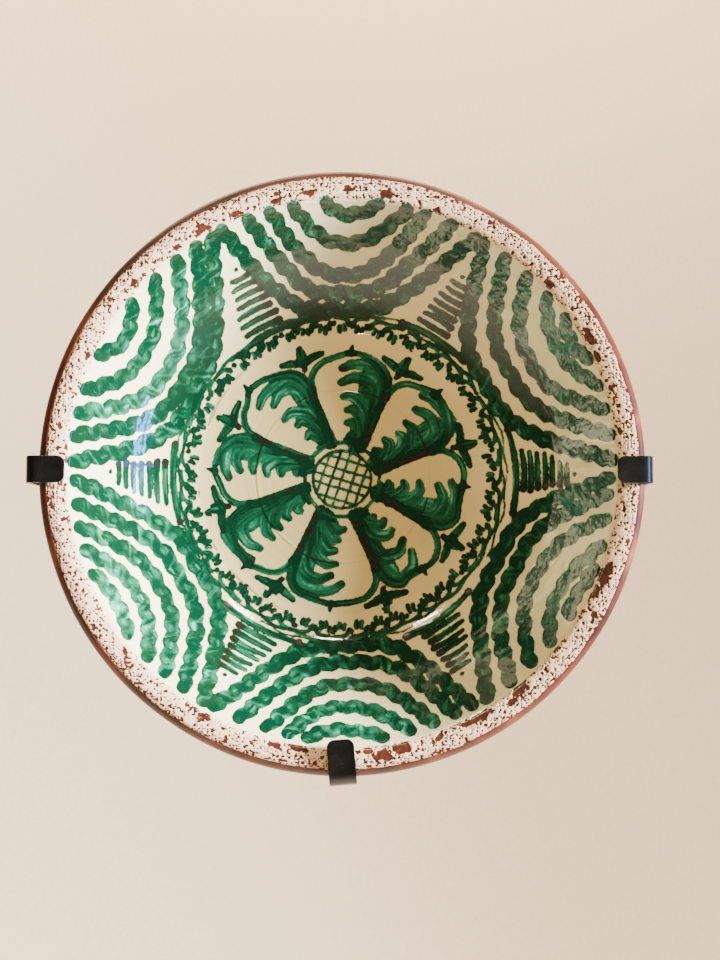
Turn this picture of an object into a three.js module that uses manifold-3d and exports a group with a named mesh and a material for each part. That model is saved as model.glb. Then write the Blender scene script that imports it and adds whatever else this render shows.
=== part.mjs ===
// A large hand-thrown, hand-painted earthenware basin, hung on a wall by three bent strap hooks.
// Millimetres, +Z up. The wall's surface is the plane y = 0 and the basin faces -Y.
// The origin is the point of the wall on the basin's axis.
import * as THREE from "three";
import { mergeVertices } from "three/addons/utils/BufferGeometryUtils.js";
import Module from "manifold-3d";

const wasm = await Module();
wasm.setup();

// ---- Driving dimensions, mm ----
const RIM_RADIUS = 225; // widest point of the lip
const DISH_HEIGHT = 94; // wall to the front of the lip
const FLOOR_THICKNESS = 14;
const WELL_RADIUS = 108; // where the flat floor starts to rise
const SHOULDER_RADIUS = 203; // inner edge of the rim band
const SHOULDER_DROP = 4.5; // from the front of the lip back to the shoulder
const LIP_CREST = 8; // from the widest point of the lip in to its front crest
const LIP_DEPTH = 15; // front of the lip back to the underside of its roll
const WALL_THICKNESS = 12;
const WALL_SLOPE = THREE.MathUtils.degToRad(52); // of the wall just below the rim
const BASE_RADIUS = 128;
const BASE_EDGE = 3; // rounding of the base's edge

const STRAP_WIDTH = 20;
const STRAP_THICKNESS = 2.5;
const STRAP_CORNER = 5.5; // rounding of the strap's ends in its own plane
const FRONT_BEND = 9; // outer radius of the bend over the lip
const WALL_BEND = 5.5; // outer radius of the bend at the wall
const FOOT_LENGTH = 52; // from the back of the leg to the end of the foot
const SCREW_INSETS = [15, 40]; // from the back of the leg in to each screw

const PAD_THICKNESS = 1.5;
const PAD_WIDTH = 18;
const PAD_LEG = 14; // how far the pad runs down the leg from the bend
const GAP = 0.3; // between neighbours that touch

const SCREW_LENGTH = 32;
const SCREW_RADIUS = 2;
const SCREW_HEAD_RADIUS = 4;
const SCREW_HEAD_HEIGHT = 2.6;
const PLUG_LENGTH = 30;
const PLUG_RADIUS = 3;
const PLUG_FLANGE = [3.6, 0.8]; // radius, thickness
const PLUG_HOLLOW = SCREW_RADIUS + GAP;

// Each hook: its place round the rim, how far its pad stands off the lip, how far its tip reaches in
// from the back of the leg, and how far it leans in the wall's plane. Degrees and mm.
const HOOKS = [
  { name: "left", angle: 180, standOff: 4, reach: 29.5, lean: 0 },
  { name: "right", angle: 0, standOff: 0, reach: 27.5, lean: 0 },
  { name: "bottom", angle: -90, standOff: 0.8, reach: 34, lean: 4.5 },
];

const DISH_SEGMENTS = 80;
const PROFILE_STEPS = 5; // per curve of the dish's profile
const SMALL_SEGMENTS = 16;
const BEND_STEPS = 6;

// ---- Materials ----
const finish = (color, roughness, metalness) =>
  new THREE.MeshStandardMaterial({ color, roughness, metalness });
const FINISHES = {
  earthenware: finish("#d9cfae", 0.25, 0),
  blackStrap: finish("#15140f", 0.4, 0),
  rubber: finish("#1b1b1a", 0.8, 0),
  zinc: finish("#b9bcc0", 0.35, 1),
  nylon: finish("#b7b5ac", 0.6, 0),
};

function named(name, geometry, material) {
  const mesh = new THREE.Mesh(geometry, material);
  mesh.name = name;
  return mesh;
}

// ---- Solids ----
function toSolid(geometry) {
  const g = geometry.index ? geometry.toNonIndexed() : geometry.clone();
  g.deleteAttribute("normal");
  g.deleteAttribute("uv");
  const merged = mergeVertices(g, 1e-4);
  return new wasm.Manifold(
    new wasm.Mesh({
      numProp: 3,
      vertProperties: merged.attributes.position.array,
      triVerts: new Uint32Array(merged.index.array),
    }),
  );
}

function toGeometry(solid) {
  const mesh = solid.getMesh();
  const geometry = new THREE.BufferGeometry();
  geometry.setAttribute("position", new THREE.BufferAttribute(mesh.vertProperties, 3));
  geometry.setIndex(new THREE.BufferAttribute(mesh.triVerts, 1));
  return geometry;
}

// ---- The basin: one thrown, fired clay body ----
// Its profile is drawn as (radius, distance from the wall), from the middle of the floor up the
// inside, over the lip, down the outside and back to the axis along the base.
function dishProfile() {
  const shoulder = DISH_HEIGHT - SHOULDER_DROP;
  const slope = new THREE.Vector2(Math.cos(WALL_SLOPE), Math.sin(WALL_SLOPE));
  const crest = RIM_RADIUS - LIP_CREST;
  const rollBack = DISH_HEIGHT - LIP_DEPTH;
  const neck = RIM_RADIUS - 9;
  const path = new THREE.Path();
  path.moveTo(0, FLOOR_THICKNESS);
  path.lineTo(WELL_RADIUS, FLOOR_THICKNESS);
  path.bezierCurveTo(
    WELL_RADIUS + 38, FLOOR_THICKNESS,
    SHOULDER_RADIUS - 45 * slope.x, shoulder - 45 * slope.y,
    SHOULDER_RADIUS, shoulder,
  );
  path.quadraticCurveTo(SHOULDER_RADIUS + 1.5, shoulder + 2, SHOULDER_RADIUS + 4, shoulder + 2.7);
  path.quadraticCurveTo(crest - 4, DISH_HEIGHT, crest, DISH_HEIGHT);
  path.bezierCurveTo(
    crest + 4.5, DISH_HEIGHT,
    RIM_RADIUS, DISH_HEIGHT - 3,
    RIM_RADIUS, DISH_HEIGHT - 7.5,
  );
  path.bezierCurveTo(
    RIM_RADIUS, rollBack + 3,
    RIM_RADIUS - 3, rollBack,
    neck, rollBack - 5,
  );
  path.bezierCurveTo(
    neck - 36 * slope.x, rollBack - 5 - 36 * slope.y,
    BASE_RADIUS + 28, BASE_EDGE + WALL_THICKNESS,
    BASE_RADIUS, BASE_EDGE,
  );
  path.quadraticCurveTo(BASE_RADIUS - 2, 0, BASE_RADIUS - 6, 0);
  path.lineTo(0, 0);
  return path.getPoints(PROFILE_STEPS).reverse();
}

function makeDish() {
  const geometry = new THREE.LatheGeometry(dishProfile(), DISH_SEGMENTS);
  const dish = named("dish", geometry, FINISHES.earthenware);
  dish.rotation.x = Math.PI; // the profile's height points out of the wall, along -Y
  return dish;
}

// ---- A hook ----
// Its own frame: x outward along the dish's radius, y out of the wall, z across the strap.
function strapOutline(leg, end, front) {
  const backBend = leg - WALL_BEND;
  const frontBend = leg - FRONT_BEND;
  const t = STRAP_THICKNESS;
  const bendTop = front - FRONT_BEND;
  const shape = new THREE.Shape();
  shape.moveTo(leg - FOOT_LENGTH, 0);
  shape.lineTo(backBend, 0);
  shape.absarc(backBend, WALL_BEND, WALL_BEND, -Math.PI / 2, 0, false);
  shape.absarc(frontBend, bendTop, FRONT_BEND, 0, Math.PI / 2, false);
  shape.lineTo(end, front);
  shape.lineTo(end, front - t);
  shape.absarc(frontBend, bendTop, FRONT_BEND - t, Math.PI / 2, 0, true);
  shape.absarc(backBend, WALL_BEND, WALL_BEND - t, 0, -Math.PI / 2, true);
  shape.lineTo(leg - FOOT_LENGTH, t);
  return shape;
}

// What a rounded corner takes off a square one: the corner at (x, z), its inside towards +x.
function cornerCutter(x, z, side, low, high) {
  const r = STRAP_CORNER;
  const over = 1; // the cutter runs this far past the strap's edges
  const shape = new THREE.Shape();
  shape.moveTo(x - over, side * (z + over));
  shape.lineTo(x - over, side * (z - r));
  shape.lineTo(x, side * (z - r));
  for (let i = 1; i <= BEND_STEPS; i++) {
    const a = (i / BEND_STEPS) * (Math.PI / 2);
    shape.lineTo(x + r - r * Math.cos(a), side * (z - r + r * Math.sin(a)));
  }
  shape.lineTo(x + r, side * (z + over));
  const cutter = new THREE.ExtrudeGeometry(shape, { depth: high - low, bevelEnabled: false });
  cutter.rotateX(-Math.PI / 2);
  cutter.translate(0, low, 0);
  return toSolid(cutter);
}

function makeStrap(leg, reach, front) {
  const outline = strapOutline(leg, leg - reach, front);
  const strap = new THREE.ExtrudeGeometry(outline, {
    depth: STRAP_WIDTH,
    bevelEnabled: false,
    curveSegments: BEND_STEPS,
  });
  strap.translate(0, 0, -STRAP_WIDTH / 2);
  let solid = toSolid(strap);
  for (const side of [-1, 1]) {
    const half = STRAP_WIDTH / 2;
    solid = solid.subtract(cornerCutter(leg - reach, half, side, front / 2, front + 1));
    solid = solid.subtract(cornerCutter(leg - FOOT_LENGTH, half, side, -1, front / 2));
  }
  for (const inset of SCREW_INSETS) {
    const drill = new THREE.CylinderGeometry(PLUG_HOLLOW, PLUG_HOLLOW, 12, SMALL_SEGMENTS);
    drill.translate(leg - inset, 0, 0);
    solid = solid.subtract(toSolid(drill));
  }
  return toGeometry(solid);
}

// The soft strip that lines the throat, from the tip round the bend and down the leg.
function makePad(leg, reach, front) {
  const t = STRAP_THICKNESS + GAP;
  const outer = FRONT_BEND - t;
  const inner = outer - PAD_THICKNESS;
  const bend = new THREE.Vector2(leg - FRONT_BEND, front - FRONT_BEND);
  const tip = leg - reach + 1.5;
  const shape = new THREE.Shape();
  shape.moveTo(leg - t, bend.y - PAD_LEG);
  shape.absarc(bend.x, bend.y, outer, 0, Math.PI / 2, false);
  shape.lineTo(tip, front - t);
  shape.lineTo(tip, front - t - PAD_THICKNESS);
  shape.absarc(bend.x, bend.y, inner, Math.PI / 2, 0, true);
  shape.lineTo(leg - t - PAD_THICKNESS, bend.y - PAD_LEG);
  const pad = new THREE.ExtrudeGeometry(shape, {
    depth: PAD_WIDTH,
    bevelEnabled: false,
    curveSegments: BEND_STEPS,
  });
  pad.translate(0, 0, -PAD_WIDTH / 2);
  return pad;
}

function makeScrew() {
  const under = STRAP_THICKNESS + GAP;
  const tip = under - SCREW_LENGTH;
  const head = new THREE.Path();
  head.moveTo(0, under + SCREW_HEAD_HEIGHT);
  head.quadraticCurveTo(
    SCREW_HEAD_RADIUS, under + SCREW_HEAD_HEIGHT,
    SCREW_HEAD_RADIUS, under + 0.6,
  );
  head.lineTo(SCREW_HEAD_RADIUS, under);
  head.lineTo(SCREW_RADIUS, under);
  head.lineTo(SCREW_RADIUS, tip + 5);
  head.lineTo(0, tip);
  return new THREE.LatheGeometry(head.getPoints(4).reverse(), SMALL_SEGMENTS);
}

function makePlug() {
  const [flangeRadius, flangeThickness] = PLUG_FLANGE;
  const ring = [
    [PLUG_HOLLOW, -GAP],
    [PLUG_HOLLOW, -PLUG_LENGTH],
    [PLUG_RADIUS - 0.2, -PLUG_LENGTH],
    [PLUG_RADIUS, -PLUG_LENGTH + 4],
    [PLUG_RADIUS, -GAP - flangeThickness],
    [flangeRadius, -GAP - flangeThickness],
    [flangeRadius, -GAP],
    [PLUG_HOLLOW, -GAP],
  ];
  const points = ring.map(([r, y]) => new THREE.Vector2(r, y));
  return new THREE.LatheGeometry(points, SMALL_SEGMENTS);
}

function makeHook({ name, angle, standOff, reach, lean }) {
  const lining = STRAP_THICKNESS + PAD_THICKNESS + 2 * GAP;
  const leg = RIM_RADIUS + standOff + lining;
  const front = DISH_HEIGHT + lining;
  const parts = new THREE.Group();
  parts.add(named(`hook_${name}`, makeStrap(leg, reach, front), FINISHES.blackStrap));
  parts.add(named(`pad_${name}`, makePad(leg, reach, front), FINISHES.rubber));
  SCREW_INSETS.forEach((inset, i) => {
    const which = ["outer", "inner"][i];
    const screw = named(`screw_${name}_${which}`, makeScrew(), FINISHES.zinc);
    const plug = named(`wall_plug_${name}_${which}`, makePlug(), FINISHES.nylon);
    screw.position.x = leg - inset;
    plug.position.x = leg - inset;
    parts.add(screw, plug);
  });
  // The hook leans about the point where it takes the lip.
  const pivot = new THREE.Group();
  pivot.position.x = RIM_RADIUS;
  pivot.rotation.y = THREE.MathUtils.degToRad(lean);
  parts.position.x = -RIM_RADIUS;
  pivot.add(parts);
  const upright = new THREE.Group();
  upright.rotation.x = Math.PI;
  upright.add(pivot);
  const hook = new THREE.Group();
  hook.rotation.y = -THREE.MathUtils.degToRad(angle);
  hook.add(upright);
  return hook;
}

const basin = new THREE.Group();
basin.add(makeDish(), ...HOOKS.map(makeHook));

export default basin;
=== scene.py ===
"""Looks for a large hand-painted earthenware basin that hangs on a wall from three strap hooks.

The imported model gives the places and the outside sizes. Every piece here is made around it, in
metres, with the wall's surface at y = 0 and the basin facing -Y. The painting is worked out stroke
by stroke, in millimetres, on the basin's inside rolled out flat: distance along the profile from the
middle of the floor, and the angle seen by the painter, clockwise from three o'clock.
"""

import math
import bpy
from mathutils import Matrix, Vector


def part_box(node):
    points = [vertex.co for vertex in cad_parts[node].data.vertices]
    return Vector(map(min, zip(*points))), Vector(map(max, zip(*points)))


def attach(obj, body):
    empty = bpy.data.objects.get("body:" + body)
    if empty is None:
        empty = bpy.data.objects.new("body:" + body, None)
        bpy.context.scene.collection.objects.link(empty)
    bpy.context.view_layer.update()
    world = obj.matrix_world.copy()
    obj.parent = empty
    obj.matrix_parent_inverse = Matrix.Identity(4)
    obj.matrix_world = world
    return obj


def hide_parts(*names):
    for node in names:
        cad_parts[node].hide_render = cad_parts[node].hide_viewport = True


bl_info = {
    "name": "Painted basin on wall hooks",
    "version": (1, 0, 0),
    "blender": (4, 5, 0),
    "location": "3D View > Sidebar > Basin",
    "description": "Builds a hand-painted earthenware basin and its wall hooks around a packed frame",
    "category": "Add Mesh",
}

import bmesh
import bpy
import numpy as np
from mathutils import Matrix, Vector

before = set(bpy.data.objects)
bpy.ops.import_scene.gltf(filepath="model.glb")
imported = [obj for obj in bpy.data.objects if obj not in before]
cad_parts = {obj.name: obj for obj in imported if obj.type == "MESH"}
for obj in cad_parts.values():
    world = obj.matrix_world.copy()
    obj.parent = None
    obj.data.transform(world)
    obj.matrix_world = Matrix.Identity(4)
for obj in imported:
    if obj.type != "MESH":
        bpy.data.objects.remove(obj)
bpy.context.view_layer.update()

MM = 0.001
DISH_LOW, DISH_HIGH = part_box("dish")
RIM_RADIUS = DISH_HIGH.x
DISH_HEIGHT = -DISH_LOW.y


# ---- Sizes and colours that a user may change ----


def length(name, metres, description):
    return bpy.props.FloatProperty(name=name, default=metres, description=description, unit="LENGTH")


def angle(name, degrees, description):
    return bpy.props.FloatProperty(
        name=name, default=math.radians(degrees), description=description, subtype="ANGLE"
    )


def number(name, value, description):
    return bpy.props.FloatProperty(name=name, default=value, description=description)


def colour(name, srgb_hex, description):
    return bpy.props.StringProperty(name=name, default=srgb_hex, description=description)


class BasinShape(bpy.types.PropertyGroup):
    floor: length("Floor", 0.014, "Thickness of the floor")
    well: length("Well", 0.108, "Radius of the flat floor")
    shoulder: length("Shoulder", 0.203, "Radius of the rim band's inner edge")
    shoulder_drop: length("Shoulder drop", 0.0045, "Front of the lip back to the shoulder")
    wall_slope: angle("Wall slope", 52, "Slope of the wall below the rim")
    wall_thickness: length("Wall", 0.012, "Thickness of the wall near the base")
    base: length("Base", 0.128, "Radius of the flat base")
    seed: bpy.props.IntProperty(name="Seed", default=7, description="Fixes the hand's irregularity")


class BasinFinish(bpy.types.PropertyGroup):
    glaze_wall: colour("Wall glaze", "#e1d29c", "Tin-white glaze of the wall")
    # The floor's glaze colour is yellower from pooled glaze and darker as painted shade of the floor.
    glaze_well_shaded: colour("Well glaze", "#c6b072", "Thicker, yellower glaze of the floor")
    copper_thin: colour("Thin copper green", "#7db594", "Green where the brush ran dry")
    copper: colour("Copper green", "#175a3c", "Green at its usual depth")
    copper_deep: colour("Deep copper green", "#042a18", "Green where strokes overlap")
    copper_burnt: colour("Burnt copper", "#1c100a", "Brown black where the oxide pooled")
    slip: colour("Rim slip", "#d9b286", "Pinkish white slip of the rim band")
    clay: colour("Terracotta", "#85421f", "Fired clay")
    clay_dark: colour("Dark terracotta", "#2a110a", "Clay where it is stained or chipped")
    strap_black: colour("Strap black", "#080806", "Powder coat on the hooks")


class HookKind(bpy.types.PropertyGroup):
    width: number("Width", 20.0, "Strap's width, mm")
    thickness: number("Thickness", 2.5, "Strap, mm")
    foot: number("Foot", 52.0, "Foot's length on the wall, mm")
    front_bend: number("Front bend", 9.0, "Outer radius over the lip, mm")
    wall_bend: number("Wall bend", 5.5, "Outer radius at the wall, mm")
    pad: number("Pad", 1.5, "Rubber lining's thickness, mm")
    gap: number("Gap", 0.3, "Between parts that touch, mm")


class StageSettings(bpy.types.PropertyGroup):
    distance: length("Distance", 1.027, "Camera to the rim")
    elevation: angle("Elevation", -4.0, "Camera above the axis")
    azimuth: angle("Azimuth", 0.0, "Camera to the right of the axis")
    pan: angle("Pan", 0.70, "Aim to the right")
    tilt: angle("Tilt", 3.59, "Aim upward")
    lens: number("Lens", 52.0, "Focal length, mm")
    window: number("Window", 215.0, "Window light, W")
    pane: number("Pane", 40.0, "Each pane of sky, W")
    spots: number("Spots", 2.0, "Each ceiling spot, W")
    backdrop: number("Backdrop", 310.0, "Backdrop light, W")
    air: number("Air", 0.13, "Light from all round")


# ---- Small tools ----


def linear(hex_colour, alpha=1.0):
    """An sRGB hex colour as the linear RGBA that shaders take."""
    channels = [int(hex_colour[i : i + 2], 16) / 255 for i in (1, 3, 5)]
    return (
        *(c / 12.92 if c <= 0.04045 else ((c + 0.055) / 1.055) ** 2.4 for c in channels),
        alpha,
    )


def add(tree, kind, inputs=None, **settings):
    """Adds a node with its settings; an input is a socket to link, an sRGB hex colour or a value."""
    made = tree.nodes.new(kind)
    for name, value in settings.items():
        setattr(made, name, value)
    for key, value in (inputs or {}).items():
        give(tree, made.inputs[key], value)
    return made


def give(tree, socket, value):
    if isinstance(value, bpy.types.NodeSocket):
        tree.links.new(value, socket)
    else:
        socket.default_value = linear(value) if isinstance(value, str) else value


def linked(name, data):
    """A new object of the scene with this data."""
    made = bpy.data.objects.new(name, data)
    bpy.context.scene.collection.objects.link(made)
    return made


class Look:
    """A material in the making; its methods add nodes and return their output sockets."""

    def __init__(self, name):
        self.made = bpy.data.materials.new(name)
        self.made.use_nodes = True
        self.tree = self.made.node_tree
        self.shader = self.tree.nodes["Principled BSDF"]
        self.place = self.node("ShaderNodeTexCoord")["Object"]

    def node(self, kind, inputs=None, **settings):
        return add(self.tree, kind, inputs, **settings).outputs

    def attribute(self, name):
        return self.node("ShaderNodeAttribute", attribute_name=name)["Fac"]

    def noise(self, scale, detail):
        inputs = {"Vector": self.place, "Scale": scale, "Detail": detail}
        return self.node("ShaderNodeTexNoise", inputs)["Fac"]

    def maths(self, operation, *values):
        return self.node("ShaderNodeMath", dict(enumerate(values)), operation=operation)[0]

    def between(self, value, low=0.0, high=1.0, to=(0.0, 1.0), step="LINEAR"):
        """The value's range from low to high, mapped to another."""
        inputs = {"Value": value, "From Min": low, "From Max": high, "To Min": to[0], "To Max": to[1]}
        return self.node("ShaderNodeMapRange", inputs, interpolation_type=step)["Result"]

    def mix(self, factor, a, b):
        inputs = {"Factor": factor, "A": a, "B": b}
        return self.node("ShaderNodeMix", inputs, data_type="RGBA")["Result"]

    def ramp(self, fac, *stops):
        """A colour ramp with (position, sRGB hex) stops."""
        made = add(self.tree, "ShaderNodeValToRGB", {"Fac": fac})
        elements = made.color_ramp.elements
        while len(elements) < len(stops):
            elements.new(0.5)
        for element, (place, srgb_hex) in zip(elements, stops):
            element.position = place
            element.color = linear(srgb_hex)
        return made.outputs["Color"]

    def finish(self, base, rough, relief=None):
        """The material, with its colour, roughness and (height, strength, distance) of a bump."""
        inputs = {"Base Color": base, "Roughness": rough}
        if relief:
            bump = dict(zip(("Height", "Strength", "Distance"), relief))
            inputs["Normal"] = self.node("ShaderNodeBump", bump)["Normal"]
        for key, value in inputs.items():
            give(self.tree, self.shader.inputs[key], value)
        return self.made


def smooth(low, high, x):
    """0 below low, 1 above high, and a smooth step between."""
    t = np.clip((x - low) / (high - low), 0, 1)
    return t * t * (3 - 2 * t)


def grain(x, y, seed):
    """Smooth value noise from 0 to 1, one cell per unit, the same on every run."""
    column, row = np.floor(x).astype(np.int64), np.floor(y).astype(np.int64)
    fx, fy = smooth(0, 1, x - column), smooth(0, 1, y - row)

    def corner(i, j):
        h = (i * 374761393 + j * 668265263 + seed * 974634777) & 0xFFFFFFFF
        h = ((h ^ (h >> 13)) * 1274126177) & 0xFFFFFFFF
        return ((h ^ (h >> 16)) & 0xFFFFFF) / 0xFFFFFF

    low = corner(column, row) * (1 - fx) + corner(column + 1, row) * fx
    high = corner(column, row + 1) * (1 - fx) + corner(column + 1, row + 1) * fx
    return low * (1 - fy) + high * fy


def cloud(x, y, seed, octaves=3):
    """Several octaves of grain, from 0 to 1."""
    total, weight = 0, 0
    for k in range(octaves):
        total = total + grain(x * 2**k, y * 2**k, seed + 31 * k) * 0.5**k
        weight += 0.5**k
    return total / weight


def dots(x, y, cell, size, chance, seed):
    """How far inside the nearest of many scattered round dots each point is, in mm."""
    column, row = np.floor(x / cell), np.floor(y / cell)
    away_x = x / cell - column - 0.32 - 0.36 * grain(column, row, seed)
    away_y = y / cell - row - 0.32 - 0.36 * grain(column, row, seed + 1)
    reach = size * (0.45 + 0.75 * grain(column, row, seed + 2))
    lucky = grain(column, row, seed + 3) < chance
    return np.where(lucky, reach - cell * np.hypot(away_x, away_y), -cell)


def bezier(points, steps):
    """Points on a quadratic or cubic curve with these control points."""
    t = np.linspace(0, 1, steps)[:, None]
    points = np.asarray(points, float)
    while len(points) > 1:
        points = [a * (1 - t) + b * t for a, b in zip(points[:-1], points[1:])]
    return np.broadcast_to(points[0], (steps, 2)).copy()


def through(points, steps):
    """Points on a smooth curve that passes through all these points."""
    p = np.asarray(points, float)
    p = np.vstack([2 * p[0] - p[1], p, 2 * p[-1] - p[-2]])
    spans = len(p) - 3
    t = np.linspace(0, spans, steps)
    k = np.minimum(t.astype(int), spans - 1)
    u = (t - k)[:, None]
    a, b, c, d = p[k], p[k + 1], p[k + 2], p[k + 3]
    return 0.5 * (2 * b + (c - a) * u + (2 * a - 5 * b + 4 * c - d) * u**2 + (3 * b - a - 3 * c + d) * u**3)


# ---- The basin's profile, as (radius, distance from the wall) in metres ----


def inside_profile(shape):
    """The wall's inside from the well's edge up to the shoulder."""
    top = DISH_HEIGHT - shape.shoulder_drop
    run, rise = 0.045 * math.cos(shape.wall_slope), 0.045 * math.sin(shape.wall_slope)
    return bezier(
        [
            (shape.well, shape.floor),
            (shape.well + 0.038, shape.floor),
            (shape.shoulder - run, top - rise),
            (shape.shoulder, top),
        ],
        240,
    )


def rim_profile(shape):
    """The rim band from the shoulder out to the front crest of the lip."""
    edge, top = shape.shoulder, DISH_HEIGHT - shape.shoulder_drop
    crest = RIM_RADIUS - 0.008
    turn = bezier([(edge, top), (edge + 0.0015, top + 0.002), (edge + 0.004, top + 0.0027)], 16)
    band = bezier(
        [(edge + 0.004, top + 0.0027), (crest - 0.004, DISH_HEIGHT), (crest, DISH_HEIGHT)], 30
    )
    return np.vstack([turn, band[1:]])


def lip_profile():
    """Over the lip from its crest, round its roll, to the neck behind it."""
    crest, back = RIM_RADIUS - 0.008, DISH_HEIGHT - 0.015
    over = bezier(
        [
            (crest, DISH_HEIGHT),
            (crest + 0.0045, DISH_HEIGHT),
            (RIM_RADIUS, DISH_HEIGHT - 0.003),
            (RIM_RADIUS, DISH_HEIGHT - 0.0075),
        ],
        24,
    )
    under = bezier(
        [
            (RIM_RADIUS, DISH_HEIGHT - 0.0075),
            (RIM_RADIUS, back + 0.003),
            (RIM_RADIUS - 0.003, back),
            (RIM_RADIUS - 0.009, back - 0.005),
        ],
        24,
    )
    return np.vstack([over, under[1:]])


def outside_profile(shape):
    """From the neck down the outside to the base's edge."""
    run, rise = 0.036 * math.cos(shape.wall_slope), 0.036 * math.sin(shape.wall_slope)
    neck = (RIM_RADIUS - 0.009, DISH_HEIGHT - 0.020)
    edge = 0.003
    side = bezier(
        [
            neck,
            (neck[0] - run, neck[1] - rise),
            (shape.base + 0.028, edge + shape.wall_thickness),
            (shape.base, edge),
        ],
        200,
    )
    turn = bezier([(shape.base, edge), (shape.base - 0.002, 0), (shape.base - 0.006, 0)], 8)
    return np.vstack([side, turn[1:]])


def resample(points, step):
    """The same line with its points about one step apart, its ends kept."""
    lengths = np.linalg.norm(np.diff(points, axis=0), axis=1)
    along = np.concatenate([[0], np.cumsum(lengths)])
    count = max(2, int(round(along[-1] / step)) + 1)
    places = np.linspace(0, along[-1], count)
    return np.column_stack([np.interp(places, along, points[:, k]) for k in range(2)])


def set_back(points, depth):
    """The line moved by depth to the side that is right of its direction."""
    along = np.gradient(points, axis=0)
    along /= np.linalg.norm(along, axis=1)[:, None]
    return points + depth * np.column_stack([along[:, 1], -along[:, 0]])


def rolled_out(shape):
    """Two matching arrays: radius, and distance along the inside from the middle, both in mm."""
    line = np.vstack([[(0, shape.floor)], inside_profile(shape), rim_profile(shape)[1:]])
    steps = np.linalg.norm(np.diff(line, axis=0), axis=1)
    return line[:, 0] / MM, np.concatenate([[0], np.cumsum(steps)]) / MM


# ---- Meshes of revolution ----


def mesh_object(name, vertices, faces, finish, attributes=None, sharp=()):
    """A smooth mesh object from arrays; faces is a list of index arrays of 3 or 4 columns.

    sharp is a list of (first, past last) vertex ranges; edges inside a range are kept sharp.
    """
    mesh = bpy.data.meshes.new(name)
    mesh.vertices.add(len(vertices))
    mesh.vertices.foreach_set("co", np.asarray(vertices, np.float32).ravel())
    sizes = np.concatenate([np.full(len(f), f.shape[1]) for f in faces])
    loops = np.concatenate([f.ravel() for f in faces]).astype(np.int32)
    mesh.loops.add(len(loops))
    mesh.loops.foreach_set("vertex_index", loops)
    mesh.polygons.add(len(sizes))
    starts = np.concatenate([[0], np.cumsum(sizes)[:-1]]).astype(np.int32)
    mesh.polygons.foreach_set("loop_start", starts)
    mesh.polygons.foreach_set("use_smooth", np.ones(len(sizes), bool))
    for key, values in (attributes or {}).items():
        layer = mesh.attributes.new(key, "FLOAT", "POINT")
        layer.data.foreach_set("value", np.asarray(values, np.float32))
    mesh.materials.append(finish)
    mesh.update(calc_edges=True)
    if sharp:
        ends = np.zeros(len(mesh.edges) * 2, np.int32)
        mesh.edges.foreach_get("vertices", ends)
        ends = ends.reshape(-1, 2)
        crease = np.zeros(len(ends), bool)
        for low, high in sharp:
            crease |= np.all((ends >= low) & (ends < high), axis=1)
        layer = mesh.attributes.new("sharp_edge", "BOOLEAN", "EDGE")
        layer.data.foreach_set("value", crease)
    return linked(name, mesh)


class Revolved:
    """A profile turned round the basin's axis, as arrays that relief and paint can be laid on.

    The front line runs so that the skin's outside is on its left as it is walked, and the back
    line carries on from its end. A ring closes on itself; any other profile starts and ends
    beside the axis, where poles close it. Only the front takes relief.
    """

    def __init__(self, front, back, segments, ring):
        self.profile, self.segments, self.ring = np.vstack([front, back]), segments, ring
        self.shown = len(front) * segments
        self.front_rows = len(front)
        self.radius = np.repeat(self.profile[:, 0], segments)
        self.out = np.repeat(self.profile[:, 1], segments)
        self.angle = np.tile(np.arange(segments) * 2 * math.pi / segments, len(self.profile))
        ahead = np.gradient(front, axis=0)
        ahead /= np.linalg.norm(ahead, axis=1)[:, None]
        self.normal = np.repeat(np.column_stack([-ahead[:, 1], ahead[:, 0]]), segments, axis=0)

    def places(self):
        """The front's points as seen by the painter, x to the right and z up, in mm."""
        r, a = self.radius[: self.shown] / MM, self.angle[: self.shown]
        return r * np.cos(a), -r * np.sin(a)

    def raise_by(self, height):
        """Moves the front out along its normal, in mm."""
        self.radius[: self.shown] += self.normal[:, 0] * height * MM
        self.out[: self.shown] += self.normal[:, 1] * height * MM

    def build(self, name, finish, attributes=None, sharp_rows=()):
        s, rings = self.segments, len(self.profile)
        # Clockwise for someone facing the basin from -Y.
        x, z = self.radius * np.cos(self.angle), -self.radius * np.sin(self.angle)
        vertices = np.column_stack([x, -self.out, z])
        here = np.arange(s)
        after = (here + 1) % s
        quads = []
        for i in range(rings if self.ring else rings - 1):
            j = (i + 1) % rings
            quads.append(np.column_stack([i * s + here, i * s + after, j * s + after, j * s + here]))
        faces = [np.vstack(quads)]
        rest = len(self.radius) - self.shown
        attributes = {
            k: np.concatenate([v, np.full(rest, v[-1])]) for k, v in (attributes or {}).items()
        }
        if not self.ring:
            for row, a, b in ((0, after, here), (rings - 1, here, after)):
                circle = slice(row * s, (row + 1) * s)
                pole = len(vertices)
                vertices = np.vstack([vertices, [(0, -self.out[circle].mean(), 0)]])
                faces.append(np.column_stack([row * s + a, row * s + b, np.full(s, pole)]))
                for k, v in attributes.items():
                    attributes[k] = np.append(v, v[circle].mean())
        sharp = [(row * s, (row + 1) * s) for row in sharp_rows]
        return mesh_object(name, vertices, faces, finish, attributes, sharp)


# ---- The painting ----


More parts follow.
